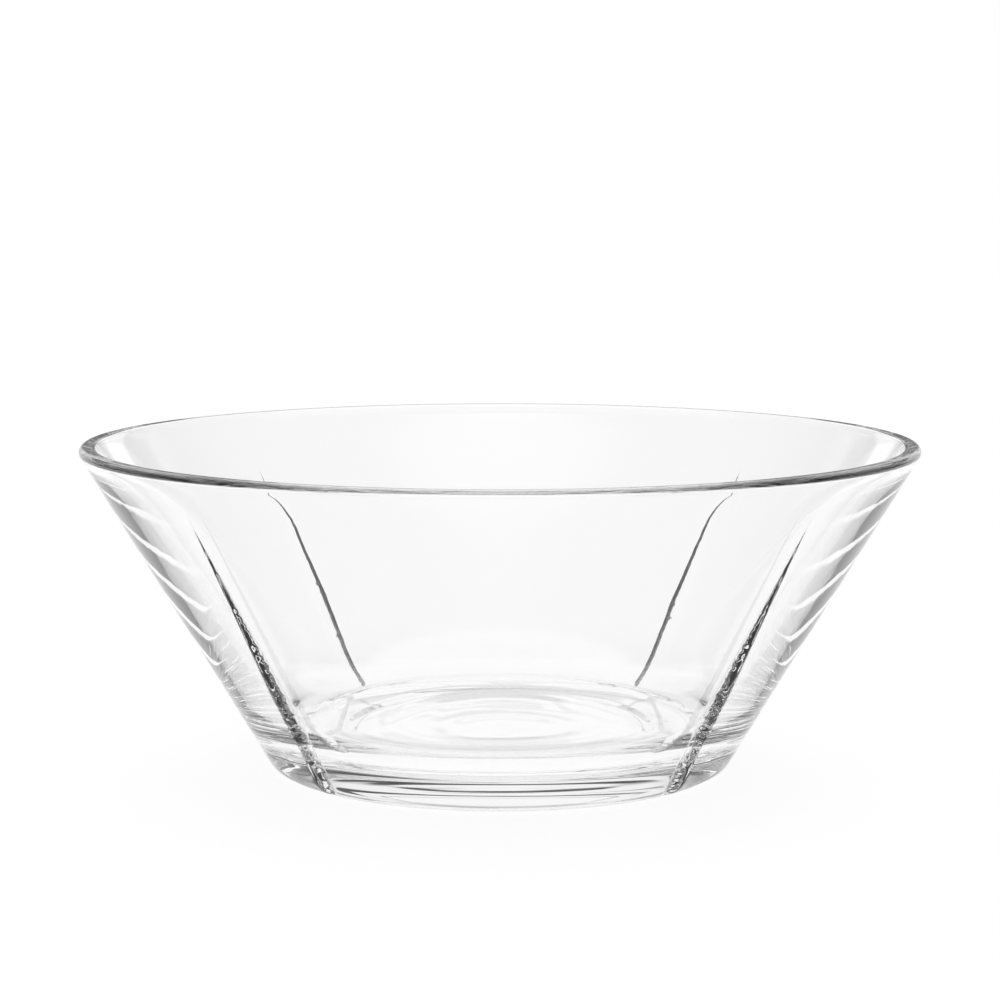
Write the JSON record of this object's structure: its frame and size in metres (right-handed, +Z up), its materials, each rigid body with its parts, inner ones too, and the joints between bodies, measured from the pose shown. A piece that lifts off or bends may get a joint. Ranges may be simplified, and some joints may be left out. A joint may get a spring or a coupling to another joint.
{
  "type": "salad bowl",
  "caption": "Clear pressed-glass salad bowl: a straight flaring wall over a thick flat base, with a softly rounded rim and tapering vertical grooves pressed into the outside.",
  "frame": {"origin": "centre of the footprint, on the plane of the flat ring that the bowl stands on", "axes": "+Z up along the bowl's axis towards the rim, -Y towards the viewer of the picture, with the grooves on the diagonals between X and Y"},
  "size_m": [0.245, 0.245, 0.096],
  "materials": {
    "clear_glass": "fire-polished clear colourless soda-lime glass"
  },
  "bodies": {
    "root": {"bowl": "clear_glass"}
  },
  "joints": []
}
